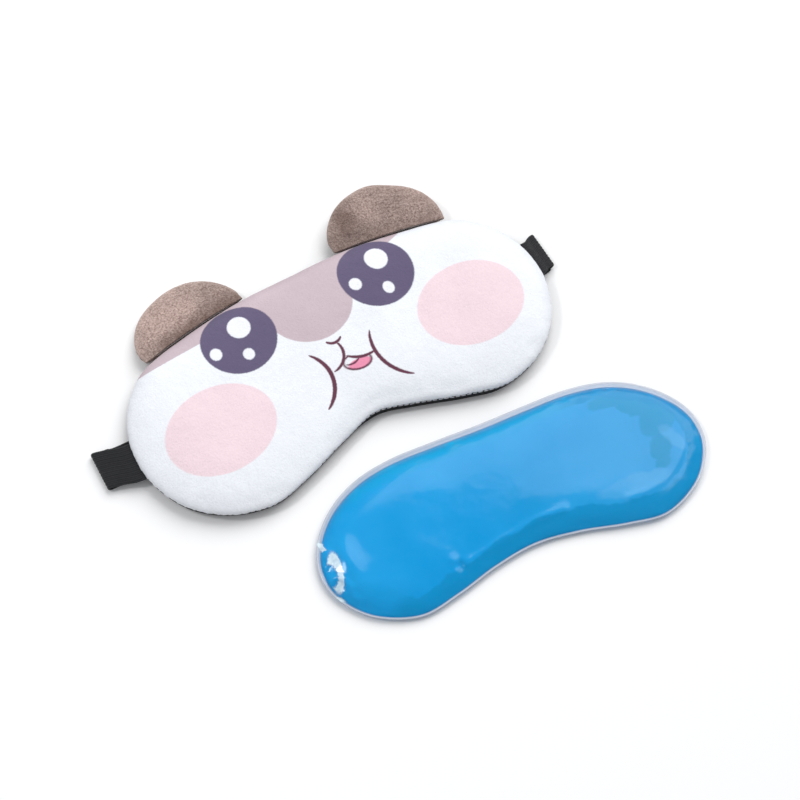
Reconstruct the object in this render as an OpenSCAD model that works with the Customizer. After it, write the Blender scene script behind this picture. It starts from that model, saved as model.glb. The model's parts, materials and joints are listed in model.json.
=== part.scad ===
/* [Mask] */
// Length of the mask from side seam to side seam
mask_l = 205; // [190:1:225]
// Height of the seam plane above the resting plane
seam_z = 5.2; // [4.6:0.1:6]
// Height of the front panel's crown above the resting plane
mask_h = 12.6; // [12:0.1:15]
// Thickness of the plush front panel
plush_t = 1.4; // [1:0.1:1.8]
// Thickness of the wadding behind the front panel
wadding_t = 2.2; // [1.8:0.1:2.6]
// Thickness of the lining between the wadding and the pocket
lining_t = 0.3; // [0.2:0.1:0.5]
// Thickness of the back fabric
back_t = 0.6; // [0.4:0.1:0.8]

/* [Pocket mouth and closure flap] */
// Half the length of the mouth that the gel pack goes in through
mouth_half_l = 58; // [50:1:58]
// Width of the mouth
mouth_w = 5; // [4.5:0.1:6]
// Distance of the mouth's middle above the mask's centre
mouth_y = 27.5; // [27:0.1:28]
// Half the length of the closure flap
flap_half_l = 62; // [60:1:62]
// Thickness of the closure flap
flap_t = 0.7; // [0.5:0.1:0.8]
// Thickness of each half of the hook-and-loop tape
tape_t = 0.67; // [0.5:0.01:0.7]
// Width of the hook-and-loop tape
tape_w = 8.5; // [6:0.5:9]
// Half the length of the hook-and-loop tape
tape_half_l = 56; // [40:1:58]

/* [Ears] */
// Length of each ear along the seam
ear_w = 54; // [48:1:56]
// How far each ear stands out from the seam
ear_l = 27.7; // [24:0.1:30]
// Bulge of the ear's front above its seam
ear_front_h = 4.2; // [3.4:0.1:4.6]
// Bulge of the ear's back below its seam
ear_back_h = 2.8; // [2.2:0.1:3]
// Droop of the left ear towards the resting plane, in degrees
left_droop = 7; // [0:1:8]
// Lift of the right ear away from the resting plane, in degrees
right_lift = 5; // [0:1:8]

/* [Strap] */
// Width of the elastic strap
strap_w = 19; // [16:0.5:19]
// Thickness of the elastic strap
strap_t = 1.2; // [1:0.1:1.2]

/* [Gel pack] */
// Length of the gel pack
gel_l = 182; // [170:1:184]
// Height of the filled pack above the resting plane
gel_h = 6.5; // [5.5:0.1:7]
// Height of the pack's welded rim above the resting plane
rim_z = 2.2; // [1.8:0.1:2.6]
// Thickness of the film
film_t = 0.25; // [0.2:0.05:0.4]
// Centre of the pack beside the mask
gel_at = [33.6, -93];
// Turn of the pack beside the mask, in degrees
gel_turn = -6.3; // [-12:0.1:0]

/* [Hidden] */

big = 300;
gap = 0.05;

// Right half of each outline, clockwise from the top of the mirror line to its foot
mask_half = [
    [0, 48.5], [30, 47.9], [60, 43.3], [80.5, 37.6], [94.2, 25.4], [101.4, 9], [101.9, -10.5],
    [93.6, -30.2], [78.5, -43.2], [59, -48.7], [40, -44.6], [18, -36.9], [0, -32]
];
gel_half = [
    [0, 34.5], [22, 34.9], [44, 34.7], [62, 31], [77, 22.3], [87.6, 9.5], [91, -4],
    [87.3, -17], [76, -29.3], [58, -36.4], [39.5, -33.9], [20, -29], [0, -26.5]
];
mask_scale = mask_l / 205;
gel_scale = gel_l / 182;

// Share of the way from the seam to the middle at each ring of a crowned surface
crown_steps = [0, 0.04, 0.1, 0.2, 0.36, 0.56, 0.75];
// The same for the rounded edge of a surface that rests on the table
edge_steps = [0, 0.1, 0.35, 1];

// Depth of the seam groove, and how far in each layer's edge lies, as shares of the way to the middle
groove_z = 0.35;
groove_in = 0.012;
plush_in = 0.05;
wadding_in = 0.1;
lining_in = 0.115;
back_run = 0.22;
pocket_run = 0.16;

// Recess under the mask for the strap, and the one for the closure
strap_y = 2;
channel_w = strap_w + 1;
channel_z = strap_t + 0.15;
flap_hinge_y = 34.05;
flap_free_y = 14.4;
closure_z = flap_t + 2 * tape_t + gap;
closure_y = [flap_free_y - 0.4, flap_hinge_y + 0.25];
tape_y = 15;

// The ear's hinge line starts beside the mirror line and follows the seam outwards
ear_x = 24.65 * mask_scale;
ear_y = 49.5 * mask_scale;
ear_yaw = -9.3;
ear_gap = 0.45;
seam_bow = 0.9;
ear_in = 0.08;
ear_edge_z = 0.3;
ear_front_t = 1.1;
ear_back_t = 0.7;
ear_steps = 14;

gel_rim_in = 0.065;
gel_run = 0.2;

// How far the ends of the strap move out with the mask's side seams
side_x = mask_l / 2;
side_shift = side_x - 102.5;
strap_in = side_x - 4;

// The strap's middle line, from the end in the left side seam to the end in the right one
strap_stations = [
    [-98.5, -1, seam_z], [-103, -1, seam_z], [-107, -0.2, 4.7], [-112, 2, 3.6],
    [-117.4, 3.6, 3], [-118.25, 3.8, 2.65], [-118.6, 3.9, 1.8], [-118.25, 3.9, 0.95],
    [-117.4, 3.9, strap_t / 2], [-112, 3.6, strap_t / 2], [-104, 2.4, strap_t / 2],
    [-60, strap_y, strap_t / 2], [0, strap_y, strap_t / 2], [60, strap_y, strap_t / 2],
    [103, 2.4, strap_t / 2], [109.6, 4, strap_t / 2], [110.45, 4.1, 0.95], [110.8, 4.1, 1.8],
    [110.45, 4, 2.65], [109.6, 3.9, 3], [107, 3, 3.6], [105, 1.5, 4.7],
    [103, 1, seam_z], [98.5, 1, seam_z]
];
strap_route = [for (p = strap_stations) p + [sign(p.x) * side_shift, 0, 0]];

function mix(a, b, t) = a + (b - a) * t;

// Point of a Catmull-Rom curve between b and c
function curve_point(a, b, c, d, t) =
    0.5 * (2 * b + (c - a) * t + (2 * a - 5 * b + 4 * c - d) * t * t
    + (3 * b - a - 3 * c + d) * t * t * t);

// Closed smooth loop through the points, with some steps in each span
function smooth_loop(p, steps) = let (n = len(p)) [
    for (i = [0:n - 1], k = [0:steps - 1])
        curve_point(p[(i + n - 1) % n], p[i], p[(i + 1) % n], p[(i + 2) % n], k / steps)
];

// Both halves of an outline given by its right half
function both_halves(half) = concat(half, [
    for (i = [len(half) - 2:-1:1]) [-half[i].x, half[i].y]
]);

mask_outline = smooth_loop(both_halves(mask_half), 3) * mask_scale;
gel_outline = smooth_loop(both_halves(gel_half), 3) * gel_scale;

// Distance of the ear's base edge from its hinge line: it follows the seam, which bows outwards
function ear_base_at(x) = ear_gap - seam_bow * pow(2 * x / ear_w - 1, 2);

ear_outline = concat(
    [for (i = [0:ear_steps]) let (a = 180 - i * 180 / ear_steps)
        [ear_w / 2 * (1 + cos(a)), mix(ear_base_at(0), ear_l, sin(a))]],
    [for (i = [4:-1:1]) let (x = ear_w * i / 5) [x, ear_base_at(x)]]
);

// Point of each shape's middle line that an outline point shrinks towards
function mask_middle(p) = [0.5 * p.x, (8 - 0.09 * abs(p.x)) * mask_scale];
function gel_middle(p) = [0.55 * p.x, (4 - 0.05 * abs(p.x)) * gel_scale];
function ear_middle(p) = [ear_w / 2 + 0.35 * (p.x - ear_w / 2), ear_l * 0.4];

// Ring of points at a share of the way from the outline to the middle line
function ring(outline, middles, t, z) = [
    for (i = [0:len(outline) - 1]) let (q = mix(outline[i], middles[i], t)) [q.x, q.y, z]
];

// How full a crowned surface is at a share of the way to its middle
function fullness(t) = pow(1 - pow(1 - t, 3), 0.7);

// Rings of a crowned surface from its edge to its flat middle
function crown(outline, middles, inset, z, rise) = [
    for (t = crown_steps)
        ring(outline, middles, inset + (1 - inset) * t,
            z + rise * fullness(t) / fullness(crown_steps[len(crown_steps) - 1]))
];

// Rings of a rounded edge that comes down to a flat underside
function rounded_edge(outline, middles, inset, z, drop, run) = [
    for (t = edge_steps)
        ring(outline, middles, inset + run * t, z - drop * sqrt(1 - pow(1 - t, 2)))
];

function tail(list) = [for (i = [1:len(list) - 1]) list[i]];

mask_middles = [for (p = mask_outline) mask_middle(p)];
gel_middles = [for (p = gel_outline) gel_middle(p)];
ear_middles = [for (p = ear_outline) ear_middle(p)];

function mask_ring(t, z) = ring(mask_outline, mask_middles, t, z);
function mask_crown(inset, top) = crown(mask_outline, mask_middles, inset, seam_z, top - seam_z);
function gel_ring(t, z) = ring(gel_outline, gel_middles, t, z);
function gel_crown(top) = crown(gel_outline, gel_middles, gel_rim_in, rim_z, top - rim_z);
function gel_edge(low) =
    rounded_edge(gel_outline, gel_middles, gel_rim_in, rim_z, rim_z - low, gel_run);
function ear_ring(t, z) = ring(ear_outline, ear_middles, t, z);
function ear_crown(inset, z, rise) = crown(ear_outline, ear_middles, inset, z, rise);

// Heights of the layers under the front panel
wadding_top = mask_h - plush_t;
lining_top = wadding_top - wadding_t;
pocket_top = lining_top - lining_t;

// Closed solid between two stacks of rings, each running from the edge inwards
module between(upper, lower) {
    n = len(upper[0]);
    low = len(lower);
    rings = concat([for (i = [low - 1:-1:0]) lower[i]], upper);
    last = len(rings) - 1;
    polyhedron(
        points = [for (r = rings) each r],
        faces = concat(
            [[for (i = [n - 1:-1:0]) i]],
            [[for (i = [0:n - 1]) last * n + i]],
            [
                for (k = [0:last - 1], i = [0:n - 1])
                    let (a = k * n + i, b = k * n + (i + 1) % n, c = b + n, d = a + n)
                        each (k < low ? [[a, b, d], [b, c, d]] : [[a, b, c], [a, c, d]])
            ]
        ),
        convexity = 8
    );
}

// Closed band of a few rings that share an outline, as a thread along it
module ring_band(rings) {
    n = len(rings[0]);
    m = len(rings);
    polyhedron(
        points = [for (r = rings) each r],
        faces = [
            for (k = [0:m - 1], i = [0:n - 1])
                let (
                    a = k * n + i, b = k * n + (i + 1) % n,
                    c = (k + 1) % m * n + (i + 1) % n, d = (k + 1) % m * n + i
                )
                    each [[a, b, c], [a, c, d]]
        ],
        convexity = 8
    );
}

// Flat band swept along a route, its width kept along Y
module flat_band(route, w, t) {
    n = len(route);
    sections = [
        for (i = [0:n - 1])
            let (
                step = route[min(i + 1, n - 1)] - route[max(i - 1, 0)],
                run = norm([step.x, step.z]),
                up = [-step.z, 0, step.x] / run * t / 2,
                side = [0, w / 2, 0],
                c = route[i]
            )
                each [c - side - up, c + side - up, c + side + up, c - side + up]
    ];
    polyhedron(
        points = sections,
        faces = concat(
            [[0, 1, 2, 3]],
            [[4 * n - 1, 4 * n - 2, 4 * n - 3, 4 * n - 4]],
            [
                for (i = [0:n - 2], k = [0:3])
                    let (a = 4 * i + k, b = 4 * i + (k + 1) % 4)
                        each [[a, a + 4, b + 4], [a, b + 4, b]]
            ]
        ),
        convexity = 6
    );
}

module box(low, high) {
    translate(low) cube(high - low);
}

// Space in both side seams for the strap's sewn ends and the rows of stitches over them
module strap_slots() {
    for (side = [-1, 1]) {
        box([min(side * strap_in, side * (side_x + 1.5)), side - strap_w / 2, seam_z - strap_t / 2],
            [max(side * strap_in, side * (side_x + 1.5)), side + strap_w / 2, seam_z + strap_t / 2]);
        stitch_bar(side);
    }
}

module stitch_bar(side) {
    x = side * (side_x - 2.3);
    z = seam_z + strap_t / 2;
    box([x - 0.9, side - strap_w / 2 + 0.5, z - gap], [x + 0.9, side + strap_w / 2 - 0.5, z + 0.4]);
}

module front_panel() {
    color("white") difference() {
        between(
            concat([mask_ring(groove_in, seam_z)],
                crown(mask_outline, mask_middles, 0, seam_z + groove_z, mask_h - seam_z - groove_z)),
            mask_crown(plush_in, wadding_top)
        );
        strap_slots();
    }
}

module front_padding() {
    color("ivory") difference() {
        between(mask_crown(plush_in, wadding_top), mask_crown(wadding_in, lining_top));
        strap_slots();
    }
}

module pocket_lining() {
    color("gainsboro")
        between(mask_crown(wadding_in, lining_top), mask_crown(lining_in, pocket_top));
}

// Space taken up below the back fabric by the strap and the closure, grown by a margin
module back_recesses(margin) {
    half = channel_w / 2 + margin;
    box([-big, strap_y - half, -big], [big, strap_y + half, channel_z + margin]);
    box([-flap_half_l - 0.6 - margin, closure_y[0] - margin, -big],
        [flap_half_l + 0.6 + margin, closure_y[1] + margin, closure_z + margin]);
}

// Whole back fabric, with the mouth cut through it
module back_shell() {
    difference() {
        between([mask_ring(groove_in, seam_z)],
            rounded_edge(mask_outline, mask_middles, 0, seam_z - groove_z, seam_z - groove_z, back_run));
        back_recesses(0);
        difference() {
            between([mask_ring(lining_in, seam_z + 1)],
                rounded_edge(mask_outline, mask_middles, lining_in, seam_z, seam_z - back_t, pocket_run));
            back_recesses(back_t);
        }
        box([-mouth_half_l, mouth_y - mouth_w / 2, -1], [mouth_half_l, mouth_y + mouth_w / 2, seam_z]);
        strap_slots();
    }
}

module back_panel_upper() {
    color("dimgray") intersection() {
        back_shell();
        box([-big, mouth_y, -big], [big, big, big]);
    }
}

module back_panel_lower() {
    color("black") intersection() {
        back_shell();
        box([-big, -big, -big], [big, mouth_y, big]);
    }
}

module seam_thread() {
    color("lavender") difference() {
        ring_band([
            mask_ring(0, seam_z - 0.25),
            mask_ring(0, seam_z + 0.25),
            mask_ring(groove_in * 0.7, seam_z)
        ]);
        strap_slots();
    }
}

module mouth_bar_tacks() {
    color("slategray") for (side = [-1, 1]) {
        x = side * (mouth_half_l + 1.6);
        box([x - 1.2, mouth_y - mouth_w / 2, closure_z - 0.5], [x + 1.2, mouth_y + mouth_w / 2, closure_z]);
    }
}

module loop_strip() {
    color("darkslategray")
        box([-tape_half_l, tape_y, closure_z - tape_t], [tape_half_l, tape_y + tape_w, closure_z]);
}

module elastic_strap() {
    color("darkslateblue") flat_band(strap_route, strap_w, strap_t);
}

module strap_end_stitching() {
    color("silver") intersection() {
        for (side = [-1, 1]) stitch_bar(side);
        box([-big, -big, seam_z + strap_t / 2], [big, big, big]);
    }
}

module closure_flap() {
    color("gray")
        box([-flap_half_l, flap_free_y, 0], [flap_half_l, flap_hinge_y - 0.25, flap_t]);
}

module hook_strip() {
    color("dimgray")
        box([-tape_half_l, tape_y, flap_t], [tape_half_l, tape_y + tape_w, flap_t + tape_t]);
}

module ear_front() {
    color("rosybrown") between(
        concat([ear_ring(0, 0)], ear_crown(0, ear_edge_z, ear_front_h - ear_edge_z)),
        ear_crown(ear_in, 0, ear_front_h - ear_front_t)
    );
}

module ear_filling() {
    color("linen") between(
        ear_crown(ear_in, 0, ear_front_h - ear_front_t),
        tail(ear_crown(ear_in, 0, ear_back_t - ear_back_h))
    );
}

module ear_back() {
    color("tan") between(
        ear_crown(ear_in, 0, ear_back_t - ear_back_h),
        concat([ear_ring(0, 0)], ear_crown(0, -ear_edge_z, ear_edge_z - ear_back_h))
    );
}

// Places an ear with its hinge line along the seam and its tip turned up by an angle
module at_right_seam(up) {
    translate([ear_x, ear_y, seam_z]) rotate(ear_yaw) rotate([up, 0, 0]) children();
}

module at_left_seam(up) {
    mirror([1, 0, 0]) at_right_seam(up) children();
}

module left_ear_front() {
    at_left_seam(-left_droop) ear_front();
}

module left_ear_filling() {
    at_left_seam(-left_droop) ear_filling();
}

module left_ear_back() {
    at_left_seam(-left_droop) ear_back();
}

module right_ear_front() {
    at_right_seam(right_lift) ear_front();
}

module right_ear_filling() {
    at_right_seam(right_lift) ear_filling();
}

module right_ear_back() {
    at_right_seam(right_lift) ear_back();
}

module beside_mask() {
    translate(gel_at) rotate(gel_turn) children();
}

module gel_film_top() {
    color("lightskyblue", 0.5) beside_mask() between(
        concat([gel_ring(0, rim_z + film_t)],
            crown(gel_outline, gel_middles, gel_rim_in, rim_z + film_t, gel_h - rim_z - film_t)),
        concat([gel_ring(0, rim_z)], gel_crown(gel_h - film_t))
    );
}

module gel_filling() {
    color("deepskyblue") beside_mask() between(gel_crown(gel_h - film_t), tail(gel_edge(film_t)));
}

module gel_film_bottom() {
    color("steelblue", 0.5) beside_mask() between(
        concat([gel_ring(0, rim_z)], gel_edge(film_t)),
        concat([gel_ring(0, rim_z - film_t)],
            rounded_edge(gel_outline, gel_middles, gel_rim_in, rim_z - film_t, rim_z - film_t, gel_run))
    );
}

front_panel();
front_padding();
pocket_lining();
back_panel_upper();
back_panel_lower();
seam_thread();
mouth_bar_tacks();
loop_strip();
elastic_strap();
strap_end_stitching();
closure_flap();
hook_strip();
left_ear_front();
left_ear_filling();
left_ear_back();
right_ear_front();
right_ear_filling();
right_ear_back();
gel_film_top();
gel_filling();
gel_film_bottom();
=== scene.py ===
"""A plush eye pillow and its gel pack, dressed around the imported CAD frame.

Lengths are in millimetres until a mesh is made, which turns them into metres.
"""
import json
import math

import bpy
import numpy as np
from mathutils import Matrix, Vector, geometry
from numpy.linalg import norm


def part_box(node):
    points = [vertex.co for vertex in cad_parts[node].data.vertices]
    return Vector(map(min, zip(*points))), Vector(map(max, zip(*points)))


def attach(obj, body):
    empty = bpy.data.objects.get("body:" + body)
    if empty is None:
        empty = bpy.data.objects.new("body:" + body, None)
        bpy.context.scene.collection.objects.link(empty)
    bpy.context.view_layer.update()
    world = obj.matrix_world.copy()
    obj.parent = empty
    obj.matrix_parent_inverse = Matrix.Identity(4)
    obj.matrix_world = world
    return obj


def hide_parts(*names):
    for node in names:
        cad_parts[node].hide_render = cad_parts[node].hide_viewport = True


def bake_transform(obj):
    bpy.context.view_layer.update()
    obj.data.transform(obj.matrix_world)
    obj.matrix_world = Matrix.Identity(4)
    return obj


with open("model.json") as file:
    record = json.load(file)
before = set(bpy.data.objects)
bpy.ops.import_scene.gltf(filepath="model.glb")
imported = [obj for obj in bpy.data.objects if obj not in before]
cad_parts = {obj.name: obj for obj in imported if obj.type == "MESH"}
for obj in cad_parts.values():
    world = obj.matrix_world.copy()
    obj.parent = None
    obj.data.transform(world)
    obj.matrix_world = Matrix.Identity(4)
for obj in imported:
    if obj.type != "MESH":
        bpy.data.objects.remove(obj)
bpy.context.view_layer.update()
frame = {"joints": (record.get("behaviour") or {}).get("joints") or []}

MM = 0.001


# -------- sizes from the frame


def box_mm(node):
    """Lowest and highest corners of a CAD node, in millimetres."""
    low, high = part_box(node)
    return np.array(low) / MM, np.array(high) / MM


PANEL_LOW, PANEL_HIGH = box_mm("front_panel")
SEAM_Z = PANEL_LOW[2]
CROWN_Z = PANEL_HIGH[2]
MASK_HALF = (PANEL_HIGH[0] - PANEL_LOW[0]) / 2
FLAP_LOW, FLAP_HIGH = box_mm("closure_flap")
HOOK_LOW, HOOK_HIGH = box_mm("hook_strip")
LOOP_LOW, LOOP_HIGH = box_mm("loop_strip")
MOUTH_Y = box_mm("back_panel_upper")[0][1]
FILM_LOW, FILM_HIGH = box_mm("gel_film_top")
RIM_Z = FILM_LOW[2]
PACK_TOP = FILM_HIGH[2]
JOINTS = {j["name"]: j for j in frame["joints"]}

# The same as in the CAD: thickness of the plush, and where the pack lies beside the mask
PLUSH_T = 1.4
PACK_CENTRE = np.array([33.6, -93.0])
PACK_TURN = math.radians(-6.3)

# Right half of each outline, clockwise from the top of the mirror line to its foot
MASK_SHAPE = [
    (0, 48.5), (30, 47.9), (60, 43.3), (80.5, 37.6), (94.2, 25.4), (101.4, 9), (101.9, -10.5),
    (93.6, -30.2), (78.5, -43.2), (59, -48.7), (40, -44.6), (18, -36.9), (0, -32),
]
PACK_SHAPE = [
    (0, 34.5), (22, 34.9), (44, 34.7), (62, 31), (77, 22.3), (87.6, 9.5), (91, -4),
    (87.3, -17), (76, -29.3), (58, -36.4), (39.5, -33.9), (20, -29), (0, -26.5),
]


# -------- curves and plan meshes


def curve_points(a, b, c, d, steps):
    """Catmull-Rom points from b up to, and without, c."""
    t = (np.arange(steps) / steps)[:, None]
    return 0.5 * (2 * b + (c - a) * t + (2 * a - 5 * b + 4 * c - d) * t**2 + (3 * b - a - 3 * c + d) * t**3)


def smooth_loop(points, steps):
    """Closed smooth loop through the points."""
    p = np.array(points, float)
    n = len(p)
    spans = [curve_points(p[i - 1], p[i], p[(i + 1) % n], p[(i + 2) % n], steps) for i in range(n)]
    return np.vstack(spans)


def smooth_path(points, steps):
    """Open smooth path through the points, with the last one kept."""
    p = np.array(points, float)
    p = np.vstack([2 * p[0] - p[1], p, 2 * p[-1] - p[-2]])
    spans = [curve_points(*p[i - 1:i + 3], steps) for i in range(1, len(p) - 2)]
    return np.vstack(spans + [p[-2:-1]])


def both_halves(half):
    """A whole outline from its right half."""
    return list(half) + [(-x, y) for x, y in half[-2:0:-1]]


def rounded_box(low, high, radius):
    """Outline of a rectangle with rounded corners, anticlockwise."""
    points = []
    for k, (x, y) in enumerate(((1, 1), (0, 1), (0, 0), (1, 0))):
        cx = high[0] - radius if x else low[0] + radius
        cy = high[1] - radius if y else low[1] + radius
        for step in range(5):
            angle = math.radians(90 * k + 22.5 * step)
            points.append((cx + radius * math.cos(angle), cy + radius * math.sin(angle)))
    return np.array(points)


def run_along(path):
    """How far along an open path each of its points is."""
    return np.concatenate([[0], np.cumsum(norm(np.diff(path, axis=0), axis=1))])


def at_steps(path, spacing, closed=True):
    """The same path with even steps of about the given spacing."""
    ends = np.vstack([path, path[:1]]) if closed else path
    along = run_along(ends)
    count = max(3, int(round(along[-1] / spacing)))
    at = np.linspace(0, along[-1], count + (0 if closed else 1), endpoint=not closed)
    return np.column_stack([np.interp(at, along, ends[:, k]) for k in range(path.shape[1])])


def inset(loop, by):
    """The closed loop moved inwards by a distance."""
    run = np.roll(loop, -1, axis=0) - np.roll(loop, 1, axis=0)
    inwards = np.column_stack([-run[:, 1], run[:, 0]])
    inwards /= norm(inwards, axis=1)[:, None]
    if not inside(loop[:1] + inwards[:1] * 0.05, loop)[0]:
        inwards = -inwards
    return loop + inwards * by


def inside(points, loop):
    """Which points lie inside a closed loop."""
    x, y = points[:, 0], points[:, 1]
    odd = np.zeros(len(points), bool)
    for (x0, y0), (x1, y1) in zip(loop, np.roll(loop, -1, axis=0)):
        crosses = (y0 > y) != (y1 > y)
        if crosses.any():
            odd[crosses] ^= x[crosses] < (x1 - x0) * (y[crosses] - y0) / (y1 - y0) + x0
    return odd


def nearest_on(points, path, closed=True):
    """For each point: its distance to the path, the nearest point on it, and how far along that is."""
    a = path if closed else path[:-1]
    b = np.roll(path, -1, axis=0) if closed else path[1:]
    lengths = norm(b - a, axis=1)
    starts = np.concatenate([[0], np.cumsum(lengths)[:-1]])
    best = np.full(len(points), np.inf)
    foot = np.zeros_like(points)
    along = np.zeros(len(points))
    for i in range(len(a)):
        step = b[i] - a[i]
        t = np.clip(((points - a[i]) @ step) / max(step @ step, 1e-12), 0, 1)
        near = a[i] + t[:, None] * step
        d = norm(points - near, axis=1)
        closer = d < best
        best[closer] = d[closer]
        foot[closer] = near[closer]
        along[closer] = starts[i] + t[closer] * lengths[i]
    return best, foot, along


class Plan:
    """An even triangle mesh of the area inside an outline, with finer rows along its edge."""

    def __init__(self, outline, edge_step, step=None, rows=(0.0, 0.35, 0.9, 1.7)):
        step = step or edge_step
        edge = at_steps(np.array(outline, float), edge_step)
        low, high = edge.min(axis=0), edge.max(axis=0)
        levels = np.arange(low[1], high[1], step * math.sqrt(0.75))
        grid = np.vstack([
            np.column_stack([xs, np.full(len(xs), y)])
            for k, y in enumerate(levels)
            for xs in [np.arange(low[0] + (k % 2) * step / 2, high[0], step)]
        ])
        grid = grid[inside(grid, edge)]
        clear = nearest_on(grid, edge)[0] > rows[-1] + 0.6 * step
        points = np.vstack([inset(edge, r) for r in rows] + [grid[clear]])
        ring = list(range(len(edge)))
        made = geometry.delaunay_2d_cdt([Vector(p) for p in points], [], [ring], 1, 1e-6)
        self.xy = np.array([v[:] for v in made[0]])
        x, y = self.xy.T
        self.faces = []
        for a, b, c in made[2]:
            turn = (x[b] - x[a]) * (y[c] - y[a]) - (x[c] - x[a]) * (y[b] - y[a])
            self.faces.append([a, b, c] if turn > 0 else [a, c, b])
        self.edge = edge
        self.measure_from(edge)
        self.length = norm(np.roll(edge, -1, axis=0) - edge, axis=1).sum()
        self.border = self.border_loop()

    def measure_from(self, outline, touching=1e-6):
        """Sets each point's depth in from an outline, place along it, and direction out to it."""
        self.depth, foot, self.along = nearest_on(self.xy, outline)
        away = foot - self.xy
        self.out = away / np.maximum(norm(away, axis=1), 1e-6)[:, None]
        self.out[self.depth < touching] = 0

    def border_loop(self):
        """The border's points in order, inside on the left, from the one nearest the outline's start."""
        used = {(a, b) for f in self.faces for a, b in zip(f, f[1:] + f[:1])}
        following = {a: b for a, b in used if (b, a) not in used}
        loop = [min(following, key=lambda i: norm(self.xy[i] - self.edge[0]))]
        while following[loop[-1]] != loop[0]:
            loop.append(following[loop[-1]])
        return loop


LATTICE = np.random.default_rng(7).uniform(-1, 1, (256, 256))


def wobble(x, y, size, seed):
    """Smooth noise from -1 to 1 at each point, with features of about the given size."""
    u, v = np.asarray(x) / size + seed * 17.3, np.asarray(y) / size - seed * 9.1
    i, j = np.floor(u).astype(int), np.floor(v).astype(int)
    f, g = ease(u - i), ease(v - j)
    low = LATTICE[i % 256, j % 256] * (1 - f) + LATTICE[(i + 1) % 256, j % 256] * f
    high = LATTICE[i % 256, (j + 1) % 256] * (1 - f) + LATTICE[(i + 1) % 256, (j + 1) % 256] * f
    return low * (1 - g) + high * g


def along_edge(plan, size, seed):
    """Smooth noise that runs round the edge of a plan and closes on itself."""
    angle = plan.along / plan.length * math.tau
    radius = plan.length / size / math.tau
    return wobble(radius * np.cos(angle), radius * np.sin(angle), 1.0, seed)


def ease(t):
    """0 up to 1 as t goes from 0 to 1, level at both ends."""
    t = np.clip(t, 0, 1)
    return t * t * (3 - 2 * t)


def quarter_round(t):
    """Rises from 0 to 1 as a quarter circle does: steeply at first, level at the end."""
    return np.sqrt(np.clip(1 - (1 - np.clip(t, 0, 1)) ** 2, 0, 1))


def bell(t):
    """1 at zero, falling smoothly to nothing by about two."""
    return np.exp(-t * t)


# -------- mesh makers


def add_object(name, data):
    obj = bpy.data.objects.new(name, data)
    bpy.context.scene.collection.objects.link(obj)
    return obj


def make_object(name, points, faces, rest=None):
    """A smooth mesh object from points in millimetres; its material reads each point's rest place."""
    points = np.asarray(points, float)
    mesh = bpy.data.meshes.new(name)
    mesh.from_pydata((points * MM).tolist(), [], faces)
    place = mesh.attributes.new("rest_mm", "FLOAT_VECTOR", "POINT")
    place.data.foreach_set("vector", np.asarray(points if rest is None else rest, np.float32).ravel())
    mesh.polygons.foreach_set("use_smooth", [True] * len(mesh.polygons))
    mesh.update()
    return add_object(name, mesh)


def add_masks(obj, **masks):
    """Stores one number per point for the material. One given for half the points serves both faces."""
    for name, values in masks.items():
        layer = obj.data.attributes.new(name, "FLOAT", "POINT")
        layer.data.foreach_set("value", np.resize(np.asarray(values, np.float32), len(obj.data.vertices)))


def shell(plan, top, bottom, low_plan=None):
    """Points and faces of the closed solid between two surfaces over one outline."""
    low_plan = low_plan or plan
    count = len(top)
    above, below = plan.border, [count + i for i in low_plan.border]
    faces = plan.faces + [[count + i for i in reversed(f)] for f in low_plan.faces]
    for k in range(len(above)):
        j = (k + 1) % len(above)
        faces.append([above[j], above[k], below[k], below[j]])
    return np.vstack([top, bottom]), faces


def stack(plan, z, shift=0.0):
    """Points over a plan at heights z, pushed outwards by shift near the edge."""
    xy = plan.xy + plan.out * np.broadcast_to(shift, len(z))[:, None]
    return np.column_stack([xy, z])


def sweep(centres, sides, ups, profile, swell=1.0):
    """Points and faces of a closed solid: a profile of (across, up) pairs carried along a path."""
    n = len(profile)
    a, b = np.array(profile).T[:, None, :, None]
    swell = np.broadcast_to(swell, len(centres))[:, None, None]
    points = centres[:, None] + (sides[:, None] * a + ups[:, None] * b) * swell
    last = (len(centres) - 1) * n
    faces = [list(range(n)), [last + i for i in reversed(range(n))]]
    for k in range(len(centres) - 1):
        for i in range(n):
            j = (i + 1) % n
            faces.append([k * n + j, k * n + i, (k + 1) * n + i, (k + 1) * n + j])
    return points.reshape(-1, 3), faces


def stitches(name, paths, pitch, length, radius):
    """Rows of separate stitches, each a short rounded piece of thread, along 3-D paths."""
    turn = np.arange(5) * math.tau / 5
    ring = radius * np.column_stack([np.cos(turn), np.sin(turn)])
    points, faces = [], []
    for path in paths:
        path = np.asarray(path, float)
        along = run_along(path)
        count = max(1, int(along[-1] / pitch))
        for middle in (np.arange(count) + 0.5) * along[-1] / count:
            tip, tail = (
                np.array([np.interp(middle + reach, along, path[:, c]) for c in range(3)])
                for reach in (length / 2, -length / 2)
            )
            run = tip - tail
            run /= max(norm(run), 1e-9)
            side = np.cross(run, [0, 0, 1.0] if abs(run[2]) < 0.9 else [1.0, 0, 0])
            side /= norm(side)
            centres = tail + (tip - tail) * np.array([0, 0.2, 0.8, 1])[:, None]
            sides, ups = np.tile(side, (4, 1)), np.tile(np.cross(side, run), (4, 1))
            thread_points, thread_faces = sweep(centres, sides, ups, ring, swell=(0.5, 1, 1, 0.5))
            faces += [[len(points) + i for i in f] for f in thread_faces]
            points.extend(thread_points)
    return make_object(name, points, faces)


def dress(obj, material, slot, *nodes, body=None):
    """Gives a piece its material, the body it rides on and the CAD nodes that it stands for."""
    obj.data.materials.clear()
    obj.data.materials.append(material)
    if body:
        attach(obj, body)
    if nodes:
        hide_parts(*nodes)
    return obj


# -------- materials


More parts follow.
